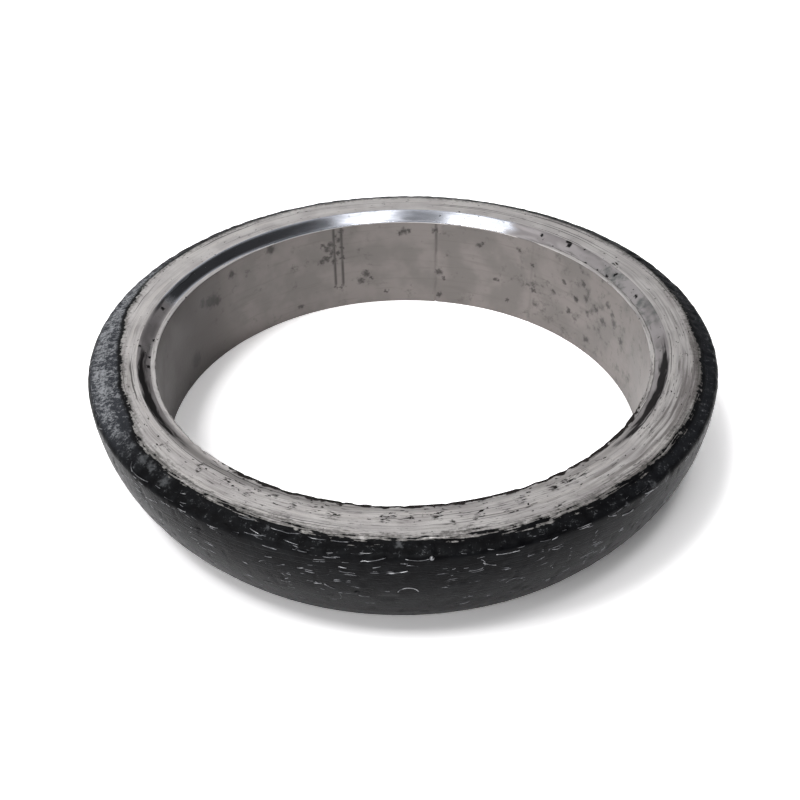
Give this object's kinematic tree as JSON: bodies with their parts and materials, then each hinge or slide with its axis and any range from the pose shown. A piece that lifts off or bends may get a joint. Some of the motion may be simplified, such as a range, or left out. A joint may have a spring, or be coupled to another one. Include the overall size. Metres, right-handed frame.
{
  "type": "exhaust gasket",
  "caption": "Ring gasket for a ball-and-socket exhaust joint: flat sealing face with a polished recess round the bore, and a curved seat that narrows to a flat land.",
  "frame": {"origin": "on the ring's axis, in the plane of the narrow end that it stands on", "axes": "+Z along the ring's axis, from the narrow end up to the flat sealing face; -Y towards the picture's camera; +X to its right"},
  "size_m": [0.07, 0.07, 0.013],
  "materials": {
    "pressed_mesh": "knitted steel wire pressed with graphite: dull grey sealing face and bore, near-black ball seat with wire showing"
  },
  "bodies": {
    "root": {"gasket_ring": "pressed_mesh"}
  },
  "joints": []
}
